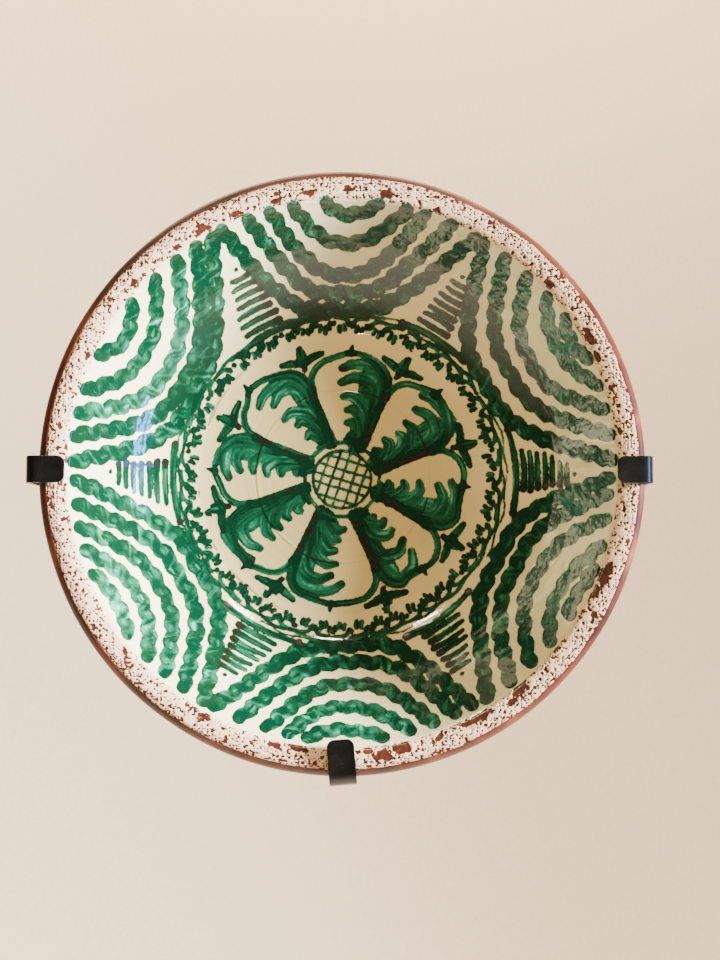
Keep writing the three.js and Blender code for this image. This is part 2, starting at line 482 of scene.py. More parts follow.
class Painting:
    """Brush strokes laid on a set of points of the rolled-out inside, in mm.

    edge: distance inside the nearest stroke's edge, negative outside it.
    pigment: how much copper the brush left. burnt: where it pooled and burnt brown.
    """

    def __init__(self, shape, points):
        self.points = points
        self.edge = np.full(len(points), -4.0)
        self.pigment = np.zeros(len(points))
        self.burnt = np.zeros(len(points))
        self.radii, self.reaches = rolled_out(shape)
        self.middle = np.zeros(2)
        self.scale = 1.0
        self.random = np.random.default_rng(shape.seed)

    def place(self, angle, radius):
        """The rolled-out place of an angle in degrees and a radius in mm."""
        t = np.radians(np.asarray(angle, float))
        reach = self.scale * np.interp(radius, self.radii, self.reaches)
        return np.column_stack(np.broadcast_arrays(reach * np.cos(t), -reach * np.sin(t))) + self.middle

    def stroke(self, line, widths, load=0.6, pool=0.25, burn=0.0, beats=0.0, hair=0.0, streak=1.3):
        """One stroke of a loaded brush along a line of points.

        widths are full widths along the line, load is the depth of colour, pool is how much more
        gathers at the far end, burn is how brown it burns there, beats is how often the brush rolled
        from side to side, hair is the angle of its hairs' tracks to the line, and streak is the
        width of one track in mm.
        """
        line = np.asarray(line, float)
        half = np.interp(np.linspace(0, 1, len(line)), np.linspace(0, 1, len(widths)), widths) / 2
        reach = half.max() + 2.5
        inside_box = (self.points > line.min(0) - reach) & (self.points < line.max(0) + reach)
        near = np.flatnonzero(inside_box[:, 0] & inside_box[:, 1])
        if not len(near):
            return
        p = self.points[near]
        best = np.full(len(near), -1e9)
        along, across = np.zeros(len(near)), np.zeros(len(near))
        steps = np.diff(line, axis=0)
        lengths = np.maximum(1e-6, np.hypot(steps[:, 0], steps[:, 1]))
        starts = np.concatenate([[0], np.cumsum(lengths)])
        total = starts[-1]
        for first in range(0, len(steps), STROKE_CHUNK):
            part = line[first : first + STROKE_CHUNK + 1]
            inside_box = (p > part.min(0) - reach) & (p < part.max(0) + reach)
            some = np.flatnonzero(inside_box[:, 0] & inside_box[:, 1])
            if not len(some):
                continue
            q = p[some]
            for k in range(first, min(first + STROKE_CHUNK, len(steps))):
                step, length = steps[k], lengths[k]
                t = np.clip(((q - line[k]) @ step) / length**2, 0, 1)
                gap = q - (line[k] + t[:, None] * step)
                inside = half[k] + (half[k + 1] - half[k]) * t - np.hypot(gap[:, 0], gap[:, 1])
                side = (step[0] * gap[:, 1] - step[1] * gap[:, 0]) / length
                closer = inside > best[some]
                index = some[closer]
                best[index] = inside[closer]
                along[index] = starts[k] + t[closer] * length
                across[index] = side[closer]
        seed = int(self.random.integers(1 << 20))
        over, down = math.cos(hair), math.sin(hair)
        track, run = across * over + along * down, along * over - across * down
        hairs = cloud(track / streak + 50, run / 22 + 50, seed, 2)
        wash = grain(track / (3 * streak) + 90, run / 24 + 90, seed + 5)
        colour = load * (0.12 + 1.5 * hairs + 0.4 * wash)
        if beats:
            colour *= 1 + 0.18 * np.sin(2 * math.pi * beats * along / total - across * 0.42)
        colour *= 1 + pool * np.exp(-(total - along) / 6) + 0.8 * pool * np.exp(-along / 5)
        rough = best + 0.8 * (grain(p[:, 0] / 1.9, p[:, 1] / 1.9, seed + 9) - 0.5)
        body, skirt = smooth(-0.5, 0.7, rough), smooth(-2.2, -1.2, rough)
        before = self.pigment[near] * smooth(-0.5, 0.5, self.edge[near])
        laid = np.maximum(self.pigment[near] * (1 - 0.35 * body), colour * skirt)
        self.pigment[near] = laid + 0.22 * np.minimum(before, colour) * body
        heat = burn * np.exp(-(((total - along) / 5) ** 2)) * smooth(0.0, 1.2, rough)
        self.burnt[near] = np.maximum(self.burnt[near] * (1 - 0.5 * body), heat)
        self.edge[near] = np.maximum(self.edge[near], rough)

    def curve(self, points, steps, draw=through):
        """A smooth line through, or drawn towards, these (angle, radius) points."""
        return draw(self.place(*np.transpose(points)), steps)

    def dot(self, angle, radius, width, load, burn):
        self.blob(self.place(angle, radius)[0], width, load, burn)

    def blob(self, centre, width, load, burn):
        self.stroke([centre - 0.1, centre + 0.1], [width], load, 0.3, burn)


STROKE_CHUNK = 10  # how many steps of a stroke are searched together
ROPE_BEAT = 16.5  # mm from one turn of the brush to the next along a rope band
BAND_TOP, BAND_SAG = 201.2, 1.6  # mean radius of the bands' ends, and how much less it is at the bottom
BAND_WIDTH, BAND_LOAD = 12.6, 1.38  # width in mm, and a factor on the loads below

# The six fans of rope bands. For each: the middle angle, then for its bands, outermost first, the
# radius at the middle, the angles of its two ends at the shoulder, and how loaded the brush was.
FANS = (
    (30, (
        (138, 1.5, 58, 0.62), (152, 4.8, 52, 0.64), (167.5, 10, 46, 0.60),
        (186, 16, 40, 0.55), (196, 21, 33, 0.52),
    )),
    (90, (
        (132.5, 61, 119, 0.60), (145.5, 65, 113, 0.60), (161.5, 70, 107, 0.54),
        (177, 75, 102, 0.46), (191.5, 81, 98, 0.44),
    )),
    (150, (
        (135, 121, 178, 0.56), (150, 126, 173, 0.60), (165, 131, 168, 0.54),
        (180, 136, 163, 0.46), (194, 142, 158, 0.38),
    )),
    (211, (
        (136, 181.5, 241, 0.60), (146, 187, 237, 0.62), (159, 192, 232, 0.44),
        (177, 197, 226, 0.60), (192, 205, 219, 0.58),
    )),
    (271, (
        (132, 243, 300, 0.66), (144.5, 249, 294, 0.68), (157.5, 254, 288, 0.66),
        (177.5, 259, 284, 0.66), (194, 266, 278, 0.60),
    )),
    (331, (
        (135, 301.5, 358, 0.66), (153.5, 307, 352.5, 0.68), (169, 313, 347, 0.68),
        (188, 319, 342, 0.66), (197, 325, 336, 0.60),
    )),
)

# The ladders of short strokes between the fans: the apex's angle, how far the lowest stroke reaches
# to either side of it in degrees, and the radius of that stroke.
LADDERS = (
    (1, 16.5, 11, 136),
    (60, 17.5, 8.5, 135),
    (121, 16, 11, 136),
    (181, 17, 10, 134),
    (243, 14, 16, 127.5),
    (302, 11, 14, 132),
)
LADDER_RUNGS, LADDER_TOP = 9, 177

# The eight petals of the flower: the angle and radius of the point at its top, the angle of the stem
# that closes it clockwise, how many degrees of it beside the stem are filled, and the tips of its
# feather's fingers, outermost first.
PETALS = (
    (3, 107, 28.5, 17, ((1.5, 92), (3.5, 81), (2.2, 65), (2.8, 52), (3.6, 39))),
    (48, 106, 69.5, 12, ((46, 84), (45, 72), (45.6, 59.5), (44.3, 49), (50, 41))),
    (95, 110, 121, 14, ((90.5, 88), (96.8, 81), (94.6, 71), (95.6, 60), (93.7, 51), (88, 42))),
    (138, 112, 165, 15, ((138.3, 101), (140, 90), (139.9, 76), (141.7, 66), (143.7, 55), (142.5, 44))),
    (184, 113, 206, 15, ((181, 95), (185, 86), (185, 75), (183.8, 63), (184.7, 51), (186.6, 38))),
    (223.5, 114, 251.5, 13, ((221.4, 93), (227.3, 85), (226, 70), (230.7, 59), (230.8, 46))),
    (274, 113, 298, 18, ((270, 94), (269.4, 82), (270.7, 70), (274, 59), (275, 48), (279, 37))),
    (317.5, 113, 342.5, 18, ((313.6, 98), (316.2, 85.5), (318.3, 72), (321, 61), (317, 49), (318, 37))),
)
HEART_RING, HEART_LINE = 30.2, 23.5
PETAL_SCALE, HEART_SCALE = 0.945, 0.975  # against the radii above
FLOWER_MIDDLE, VINE_MIDDLE = (-0.8, -2.3), (-1.6, 0.3)  # mm off the basin's middle
VINE_RADIUS = 128
VINE_CLUSTERS = 52


def paint_fans(art):
    """Nested bands that hang from the shoulder like ropes, each one long rolling stroke."""
    for middle, bands in FANS:
        shoulder = BAND_TOP - BAND_SAG * math.sin(math.radians(middle))
        for rank, (bottom, start, end, load) in enumerate(bands):
            steep, easy = 4.0 - 0.5 * rank, 2.7 - 0.2 * rank
            x = np.linspace(-1, 1, 241)
            x = np.sign(x) * (1 - (1 - np.abs(x)) ** 1.8)
            power = np.where(x < 0, steep, easy)
            angle = middle + np.where(x < 0, (middle - start) * x, (end - middle) * x)
            radius = bottom + (shoulder - bottom) * np.abs(x) ** power
            line = resample(art.place(angle, radius), 1.3)
            travel = np.linspace(0, 1.3 * len(line), len(line))
            length = travel[-1]
            beats = max(1.5, length / (ROPE_BEAT + art.random.uniform(-1.5, 2.0)))
            ahead = np.gradient(line, axis=0)
            ahead /= np.linalg.norm(ahead, axis=1)[:, None]
            aside = np.column_stack([-ahead[:, 1], ahead[:, 0]])
            drift = grain(travel / 30, np.full(len(line), rank + 0.5), middle) - 0.5
            turn = 2 * math.pi * (beats * travel / length + 0.25 * drift) + art.random.uniform(0, 3)
            sway = 2.0 * (np.sin(turn) + 0.25 * np.sin(2 * turn)) + 2.0 * drift
            calm = smooth(0, 9, travel) * smooth(0, 9, length - travel)
            line = line + (sway * calm)[:, None] * aside
            swell = BAND_WIDTH + 0.9 * np.cos(2 * turn) + 2.6 * (
                grain(travel / 11, np.full(len(line), rank + 3.5), middle + 7) - 0.5
            )
            swell *= 0.94 + 0.06 * calm
            line = line[2:-2]
            art.stroke(line, swell[2:-2], load * BAND_LOAD, pool=0.5, burn=0.15, beats=beats,
                       hair=math.radians(42), streak=1.7)


def paint_ladders(art):
    """Short strokes that shrink to a dot, each with a dark blob where the brush lifted."""
    for apex, before, after, low in LADDERS:
        for k in range(LADDER_RUNGS):
            radius = low + (LADDER_TOP - low) * (k / (LADDER_RUNGS - 1)) ** 0.92
            if k == LADDER_RUNGS - 1:
                art.dot(apex - 0.7, radius, 4.2, 0.95, 0.5)
                continue
            keep = 1.0 if k == 0 else 0.62 * (1 - k / LADDER_RUNGS) ** 0.75
            left = before * keep + art.random.uniform(-0.5, 0.5)
            right = after * keep * (1 if k == 0 else 0.55) + art.random.uniform(-0.4, 0.4)
            bend = art.random.uniform(-0.8, 0.8)
            angle = np.linspace(apex - left, apex + right, 14)
            rise = bend * np.sin(np.linspace(0, math.pi, 14)) + 1.4 * np.linspace(-0.5, 0.5, 14) * (k == 0)
            width = 6.2 if k == 0 else 5.8
            line = art.place(angle, radius + rise)
            widths = [width * 0.8, width, width, width * 1.1]
            art.stroke(line, widths, 0.72, pool=0.3, burn=0.5, streak=0.9)
            lift = line[0] if k == 0 else line[-1]
            art.blob(lift, width * 1.1, 0.95, 0.6)


def paint_vine(art):
    """A thin twining line with sprays of small leaves that hang towards the floor."""
    art.middle = np.array(VINE_MIDDLE)
    angle = np.linspace(0, 360, 721)
    for shift, width, load in ((0.0, 3.4, 0.72), (2.8, 2.2, 0.6)):
        wave = 1.0 * np.sin(np.radians(angle * 26 + 40 * shift)) + 2.2 * (
            grain(angle / 9, np.full(len(angle), 0.5), int(10 * shift) + 3) - 0.5
        )
        radius = VINE_RADIUS + shift + wave
        for k, first in enumerate(range(0, 720, 60)):
            if shift and k % 3 == 1:
                continue
            part = slice(first, first + 59)
            art.stroke(art.place(angle[part], radius[part]), [width * 0.7, width, width * 0.8], load, 0.3)
    step = 360 / VINE_CLUSTERS
    for k in range(VINE_CLUSTERS):
        centre = k * step + art.random.uniform(-0.9, 0.9)
        lean = art.random.choice([-1, 1], p=[0.4, 0.6])
        burn = 0.55 if art.random.random() < 0.3 else 0.1
        leaves = (
            (-2.7, 124, 120.4, 4.2), (-0.9, 121, 116.8, 4.4), (1.2, 120, 115.8, 4.5), (2.9, 122, 118.6, 4.1),
        )
        for shift, top, tip, width in leaves[: 3 + (k % 3 > 0)]:
            top += art.random.uniform(-0.8, 0.8)
            tip += art.random.uniform(-1.2, 1.2)
            root = centre + lean * shift * 0.8
            ends = [(root, top), (root + lean * 0.3, (top + tip) / 2), (centre + lean * (shift - 0.3), tip)]
            line = art.curve(ends, 6, bezier)
            art.stroke(line, [width * 0.85, width, width * 0.95], 0.56, 0.3, 0.6 * burn, streak=0.8)
        bow = [(centre - lean * 3.3, 122.5), (centre - lean * 1.2, 127.5), (centre + lean * 2.6, 126.5)]
        art.stroke(art.curve(bow, 8, bezier), [2.8, 4.0, 3.2], 0.56, 0.2, streak=0.8)
        art.dot(centre + lean * 3.1, 122.5 + art.random.uniform(-1, 1), 4.6, 0.7, burn)


def paint_feather(art, stem, web, tips):
    """The feathered half of a petal: a web beside the stem, then its fingers, outermost last."""
    r = np.array([34.0, 52, 70, 87])
    half = np.radians(web) * r / 2 * np.array([0.8, 0.85, 0.95, 1.0])
    line = through(art.place(stem - np.degrees(half / r), r), 16)
    art.stroke(line, 2 * half, 0.46, 0.1, streak=1.6, beats=2.0)
    for k in reversed(range(len(tips))):
        angle, radius = tips[k]
        short = stem - angle
        if k == 0:
            points = [(stem - 1.5, 70), (stem - 4, 88), (stem - 0.36 * short, max(radius + 5, 97)),
                      (angle + 0.22 * short, max(radius + 4, 94)), (angle, radius)]
            widths = [8, 12.5, 11.5, 9.0, 7.0]
        elif k == 1:
            points = [(stem - 2, 60), (stem - 0.3 * short, radius), (angle + 0.3 * short, radius + 5),
                      (angle, radius)]
            widths = [9, 12, 10, 6.8]
        else:
            points = [(stem - 2, max(31, radius - 22)), (stem - 0.36 * short, radius - 8),
                      (angle + 0.26 * short, radius + 0.5), (angle, radius)]
            widths = [8, 11.5, 9.5, 6.2]
        line = art.curve(points, 20)
        art.stroke(line, widths, 0.5, 0.35, 0.4 if k == 0 else 0.0, streak=1.3)


def paint_flower(art):
    """Eight petals, each half open and half feathered, round a latticed heart."""
    art.middle, art.scale = np.array(FLOWER_MIDDLE), PETAL_SCALE
    for i, (nib, top, stem, web, tips) in enumerate(PETALS):
        before = PETALS[i - 1][2] - (360 if i == 0 else 0)
        paint_feather(art, stem, web, tips)
        near = [(before + 0.3, 78), (before + 1.5, 89), (before + 6.5, 98), (before + 13, 102.5)]
        near += [(nib, top - 5)]
        art.stroke(art.curve(near, 26), [6.6, 5.8, 5.6, 5.6], 0.62, 0.2)
        far = [(nib, top - 5), (nib + 8, top - 7), (stem - 9, 101), (stem - 3.2, 93), (stem - 0.3, 76)]
        art.stroke(art.curve(far, 26), [5.4, 6.2, 7.0], 0.66, 0.2)
        art.stroke(art.place([nib, nib + 0.4], [top - 6, top + 0.5]), [6.5, 2.4], 0.75, 0.35, 0.1)
    for i, (nib, top, stem, web, tips) in enumerate(PETALS):
        r = np.linspace(31, 79, 14)
        angle = stem + 4.0 * ((79 - r) / 48) ** 1.6 * (1 if i != 0 else -1.2)
        art.stroke(art.place(angle, r), [8.5, 6.4, 5.6, 5.4], 0.95, 0.2, streak=1.0)
        paint_burn(art, art.place(angle[2:], r[2:]), 3.2, 0.95 if i in (0, 1, 2, 6, 7) else 0.6)
        base = [(stem - web - 5, 33.5), (stem - web / 2, 33), (stem + 1, 34.5)]
        art.stroke(art.curve(base, 10), [4.2, 5.5, 6.0], 0.75, 0.2)
        paint_sprig(art, stem + 1 + art.random.uniform(-1, 1))
    art.scale = HEART_SCALE
    for radius, width in ((HEART_RING, 3.6), (HEART_LINE, 2.9)):
        angle = np.linspace(0, 360, 181)
        wave = 0.5 * (grain(angle / 25, np.full(181, radius), 11) - 0.5)
        art.stroke(art.place(angle, radius + wave), [width * 0.9, width, width * 1.1, width * 0.9], 0.68, 0.1)
    paint_lattice(art)


def paint_burn(art, line, width, heat):
    """Burns an already painted stretch brown, in patches."""
    gap = np.min([np.hypot(*(art.points - p).T) for p in line], axis=0)
    patches = smooth(0.38, 0.6, cloud(art.points[:, 0] / 7, art.points[:, 1] / 7, 77, 2))
    art.burnt = np.maximum(art.burnt, heat * patches * smooth(width, width * 0.4, gap))


def paint_sprig(art, angle):
    """A bud with a leaf to either side, in the notch between two petals."""
    for side, tip in ((-1, 108.5), (1, 108.0)):
        leaf = [(angle + side * 1.0, 103), (angle + side * 4.5, 106), (angle + side * 9.4, tip)]
        line = art.curve(leaf, 12)
        art.stroke(line, [5.2, 7.4, 6.6, 5.0], 0.7, 0.3, 0.15, streak=0.9)
    art.stroke(art.place([angle, angle, angle + 0.3], [99, 106, 115.5]), [5.0, 11.0, 6.0], 0.74, 0.2)
    art.dot(angle - 0.4, 97.5, 4.8, 0.95, 0.9)


def paint_lattice(art):
    """Crossed lines, a little out of square, inside the heart's inner line."""
    tilt = math.radians(-17)
    for turn in (tilt, tilt + math.radians(88)):
        along = np.array([math.cos(turn), math.sin(turn)])
        across = np.array([-along[1], along[0]])
        for k in range(-2, 3):
            offset = 7.9 * k + art.random.uniform(-0.5, 0.5)
            reach = math.sqrt(max(0.0, (HEART_LINE - 0.5) ** 2 - offset**2))
            bow = art.random.uniform(-0.5, 0.5)
            t = np.linspace(-1, 1, 10)[:, None]
            line = art.middle + offset * across + t * reach * along + bow * (1 - t**2) * across
            art.stroke(line, [2.3, 2.6, 2.4], 0.6, 0.3, streak=0.7)


# ---- Finishes ----


def glaze_finish():
    """Tin glaze over slip with copper brushwork: glassy, slightly uneven, brown where it pooled, darker on
    the floor as painted shade.
    """
    colours, look = bpy.context.scene.basin_finish, Look("Tin glaze")
    edge, pigment, burnt = (look.attribute(name) for name in ("edge", "pigment", "burnt"))
    # A stroke's edge wanders by about a quarter of a millimetre.
    frayed = look.maths("MULTIPLY_ADD", look.noise(900.0, 2.0), 1.1, edge)
    cover = look.between(frayed, 0.2, 1.0, step="SMOOTHSTEP")
    # Brush hairs and the glaze's pull leave fine mottling in the colour.
    depth = look.maths("MULTIPLY_ADD", look.noise(420.0, 4.0), 0.34, pigment)
    green = look.ramp(
        look.maths("SUBTRACT", depth, 0.17), (0.12, colours.copper_thin), (0.30, "#448c69"),
        (0.50, colours.copper), (0.74, "#0b3a22"), (1.0, colours.copper_deep),
    )
    rust = look.between(burnt, 0.15, 0.75)
    oxide = look.mix(rust, green, colours.copper_burnt)
    # The white is yellower and darker towards the floor: yellower where the glaze pooled there, darker as
    # painted shade of the floor. It drifts a little everywhere.
    apart = look.node("ShaderNodeSeparateXYZ", {"Vector": look.place})
    flat = look.node("ShaderNodeCombineXYZ", {"X": apart["X"], "Y": apart["Z"]})[0]
    far = look.node("ShaderNodeVectorMath", {0: flat}, operation="LENGTH")["Value"]
    uneven = look.maths("MULTIPLY_ADD", look.noise(26.0, 3.0), 0.05, far)
    white_with_floor_shade = look.ramp(
        look.between(uneven, 0.10, 0.22),
        (0.0, colours.glaze_well_shaded), (0.45, "#dcc68c"), (1.0, colours.glaze_wall),
    )
    specks = look.node("ShaderNodeTexVoronoi", {"Vector": look.place, "Scale": 160.0})
    pin = look.between(specks["Distance"], 0.05, 0.03)
    few = look.maths("GREATER_THAN", specks["Color"], 0.86)
    speckled = look.mix(look.maths("MULTIPLY", pin, few), white_with_floor_shade, "#8d6b45")
    # A lead-bearing glaze; its pull leaves a skin like an orange's, 4 mm from crest to crest.
    look.shader.inputs["IOR"].default_value = 1.54
    rough, peel = look.between(rust, to=(0.07, 0.28)), look.noise(240.0, 1.0)
    return look.finish(look.mix(cover, speckled, oxide), rough, (peel, 0.08, 0.0006))


def slip_finish():
    """The rim band: slip that crawled off the clay in firing, chalky and half matt."""
    colours, look = bpy.context.scene.basin_finish, Look("Crawled slip")
    bare, edge, stain = (look.attribute(name) for name in ("bare", "edge", "stain"))
    torn = look.maths("MULTIPLY_ADD", look.noise(1400.0, 3.0), 0.5, bare)
    open_clay = look.between(torn, 0.62, 0.86, step="SMOOTHSTEP")
    tone = look.noise(130.0, 5.0)
    chalk = look.ramp(tone, (0.3, colours.slip), (0.55, "#e8c699"), (0.75, "#b58869"))
    clay = look.ramp(look.noise(300.0, 4.0), (0.3, colours.clay_dark), (0.6, "#4e2210"), (0.8, "#6c341c"))
    ground = look.mix(open_clay, look.mix(stain, chalk, "#a9806b"), clay)
    base = look.mix(look.between(edge, -0.3, 0.6), ground, "#23553a")
    return look.finish(base, look.between(open_clay, to=(0.42, 0.8)), (tone, 0.5, 0.0005))


def clay_finish():
    """Terracotta, thrown and fired bare: matt, grog-speckled, rubbed darker on the lip."""
    look = Look("Terracotta")
    wear, run = look.attribute("lip"), look.attribute("run")
    broad = look.noise(22.0, 4.0)
    middle = bpy.context.scene.basin_finish.clay
    body = look.ramp(broad, (0.3, "#7c3f20"), (0.5, middle), (0.72, "#9c5a34"))
    # Grog is sand of about half a millimetre.
    grog = look.noise(1500.0, 3.0)
    sandy = look.mix(0.28, body, look.ramp(grog, (0.35, "#5d3119"), (0.65, "#d19a74")))
    rubbed = look.ramp(broad, (0.35, "#30140b"), (0.55, "#4e2416"), (0.75, "#74402e"))
    glazed = look.mix(run, look.mix(wear, sandy, rubbed), "#dccdb0")
    rough = look.between(look.maths("MAXIMUM", wear, run), to=(0.86, 0.42))
    return look.finish(glazed, rough, (grog, 0.35, 0.0003))


# ---- The basin's pieces ----

# Depths below the nominal inside surface, in mm.
GLAZE_BACK = 0.6
SLIP_LEVEL, SLIP_BARE, SLIP_BACK = 0.25, 0.6, 1.1
CLAY_LEVEL, CLAY_HIDDEN = 0.45, 1.3
SLIP_EDGE = 219.0  # radius where the slip stops on the lip, mm
SCORED_RING = 68.5  # radius of the line scored in the floor, mm


def painted(shape, skin, everything=True):
    """Edge, pigment and burn for the front of a revolved skin."""
    radii, reaches = rolled_out(shape)
    reach = np.interp(skin.radius[: skin.shown] / MM, radii, reaches)
    angle = skin.angle[: skin.shown]
    art = Painting(shape, np.column_stack([reach * np.cos(angle), -reach * np.sin(angle)]))
    paint_fans(art)
    if everything:
        paint_ladders(art)
        paint_vine(art)
        paint_flower(art)
    return {"edge": art.edge, "pigment": art.pigment, "burnt": art.burnt}


def glaze_relief(r, x, z, marks):
    """The painted skin's own relief in mm: throwing rings, one scored ring, the glaze's pull."""
    wander = 1.2 * cloud(x / 60, z / 60, 8)
    rings = 0.045 * np.sin(r * 0.9 + 4 * cloud(x / 40, z / 40, 3)) * smooth(230, 60, r)
    score = 0.25 * np.exp(-(((r - SCORED_RING + 1.2 - wander) / 0.7) ** 2))
    score -= 0.4 * np.exp(-(((r - SCORED_RING - wander) / 0.55) ** 2))
    pull = 0.12 * (cloud(x / 16, z / 16, 5) - 0.5) + 0.025 * (cloud(x / 4, z / 4, 9) - 0.5)
    brushed = 0.035 * smooth(-0.6, 1.2, marks["edge"]) * np.clip(marks["pigment"], 0, 1.2)
    return rings + score + pull + brushed


def make_wall(shape):
    rim = rim_profile(shape)
    front = np.vstack([inside_profile(shape), rim[1 : 1 + np.argmax(rim[:, 0] > 0.2048)]])
    front = resample(front, 0.00118)
    back = set_back(resample(front, 0.016), GLAZE_BACK * MM)[::-1]
    skin = Revolved(front, back, 820, True)
    r = skin.radius[: skin.shown] / MM
    x, z = skin.places()
    marks = painted(shape, skin)
    fringe = 203.4 + 1.8 * (cloud(x / 5, z / 5, 14) - 0.5) - r
    height = glaze_relief(r, x, z, marks) * smooth(0, 2, fringe) - 0.9 * smooth(0.5, -0.6, fringe)
    skin.raise_by(height)
    return skin.build("wall_glaze", bpy.data.materials["Tin glaze"], marks, (0,))


def make_well(shape):
    places = np.linspace(0.0006, shape.well, 128)
    front = np.column_stack([places, np.full(128, shape.floor)])
    back = np.column_stack([places[::-16], np.full(8, shape.floor - GLAZE_BACK * MM)])
    skin = Revolved(front, back, 600, False)
    r = skin.radius[: skin.shown] / MM
    x, z = skin.places()
    marks = painted(shape, skin)
    skin.raise_by(glaze_relief(r, x, z, marks))
    scored = np.exp(-(((r - SCORED_RING - 1.2 * cloud(x / 60, z / 60, 8)) / 0.5) ** 2))
    marks["pigment"] = marks["pigment"] + 0.5 * scored * smooth(0, 1, marks["edge"])
    marks["burnt"] = np.maximum(marks["burnt"], 0.6 * scored * smooth(0, 1, marks["edge"]))
    return skin.build("well_glaze", bpy.data.materials["Tin glaze"], marks, (127,))


# Places where the slip fell away in one piece: angle, radius, half length and half width in mm.
CHIPS = (
    (22, 208, 9, 3.5), (26, 206, 6, 2.6), (30.5, 213, 4, 2.2), (51, 206.5, 8, 3.4), (54, 210, 4, 2.4),
    (61, 207, 9, 3.4), (64, 206, 5, 2.2), (70, 207, 3.5, 2.0), (78, 208, 7, 4.2), (82, 210, 8, 4.4),
    (85, 206, 5, 2.4), (99, 206, 7, 2.6), (104, 207, 5, 2.6), (119, 206, 5, 2.2), (140, 207, 3, 2),
    (204, 207, 3, 1.8), (222, 208, 4, 2), (233, 207, 4, 2.2), (240, 208, 5.5, 3.6), (247, 207, 3.5, 2),
    (256, 207, 4, 2), (263, 209, 4.5, 2.4), (271, 210, 6, 2.2), (279, 209, 6, 3.0), (290, 206.5, 4, 2),
    (318, 207, 4, 2.2), (331, 208, 7, 2.6), (336, 206.5, 4, 2), (343, 208, 3, 2), (352, 207, 3, 1.8),
)


def bare_slip(skin):
    """How bare each point of the rim band is; the slip's broken edge runs along 0.5."""
    r = skin.radius[: skin.shown] / MM
    angle = skin.angle[: skin.shown]
    x, z = skin.places()
    turn = np.degrees(angle)
    outer = smooth(207, 216, r)
    drift = 0.06 * (cloud(x / 30, z / 30, 22, 2) - 0.5)
    warp = 0.5 * (cloud(x / 1.6, z / 1.6, 21, 2) - 0.5)
    specks = dots(x, z, 4.6, 1.15, 0.38 + 0.1 * outer, 51) + warp
    dust = dots(x + 1.1, z + 2.3, 2.5, 0.78, 0.24 + 0.3 * outer, 61) + warp
    fine = dots(x + 0.4, z + 0.9, 1.8, 0.6, 0.2 + 0.3 * outer, 71) + 0.6 * warp
    pits = cloud(x / 3.0, z / 3.0, 23, 3) - 0.72 + 0.035 * np.exp(-(((r - 206) / 4) ** 2)) + drift
    streaks = grain(turn / 0.7, (r - 203) / 0.55, 24) * 0.5 + 0.5 * grain(turn / 3, (r - 203) / 0.8, 25)
    lines = streaks - 0.84 + 0.12 * smooth(211, 217, r)
    bare = np.maximum.reduce([specks * 1.6, dust * 1.8, fine * 2.0, pits * 9, lines * 6])
    tear = 2.6 * (cloud(x / 3.4, z / 3.4, 26, 3) - 0.5)
    for at, radius, length, width in CHIPS:
        away = (turn - at + 180) % 360 - 180
        far = np.hypot(np.radians(away) * radius / length, (r - radius) / width)
        bare = np.maximum(bare, np.where(far < 3, (1.0 - far) * 1.6 + tear, -9))
    return np.clip(0.5 + bare, 0, 1)


def make_rim(shape):
    inside, rim, lip = inside_profile(shape), rim_profile(shape), lip_profile()
    front = np.vstack([inside[inside[:, 0] > 0.2018], rim[1:], lip[1:][lip[1:, 0] < 0.2212][:8]])
    front = resample(front, 0.00058)
    back = set_back(resample(front, 0.005), SLIP_BACK * MM)[::-1]
    skin = Revolved(front, back, 2000, True)
    r = skin.radius[: skin.shown] / MM
    x, z = skin.places()
    bare = bare_slip(skin)
    lumps = 0.14 * (cloud(x / 3, z / 3, 31) - 0.5) + 0.08 * (cloud(x / 1.2, z / 1.2, 32, 2) - 0.5)
    ridges = 0.05 * np.sin(r * 3.1 + 3 * cloud(x / 30, z / 30, 33)) * smooth(208, 214, r)
    height = -SLIP_LEVEL + (lumps + ridges) * (1 - 0.6 * smooth(0.35, 0.65, bare))
    height -= (SLIP_BARE - SLIP_LEVEL) * smooth(0.35, 0.65, bare)
    fringe = SLIP_EDGE + 1.6 * (cloud(x / 14, z / 14, 34) - 0.5) - r
    height -= 0.75 * smooth(0.4, -0.5, fringe) + 0.65 * smooth(202.6, 202.0, r)
    skin.raise_by(height)
    marks = painted(shape, skin, everything=False)
    worn = smooth(4.5, 0.5, fringe) * (0.35 + 0.65 * cloud(x / 6, z / 6, 35))
    side = np.cos(skin.angle[: skin.shown] - math.radians(168))
    worn = np.maximum(worn, smooth(0.93, 0.99, side) * smooth(210, 215, r) * 0.7)
    marks = {"edge": marks["edge"], "bare": bare, "stain": np.clip(worn, 0, 1)}
    return skin.build("rim_slip", bpy.data.materials["Crawled slip"], marks)


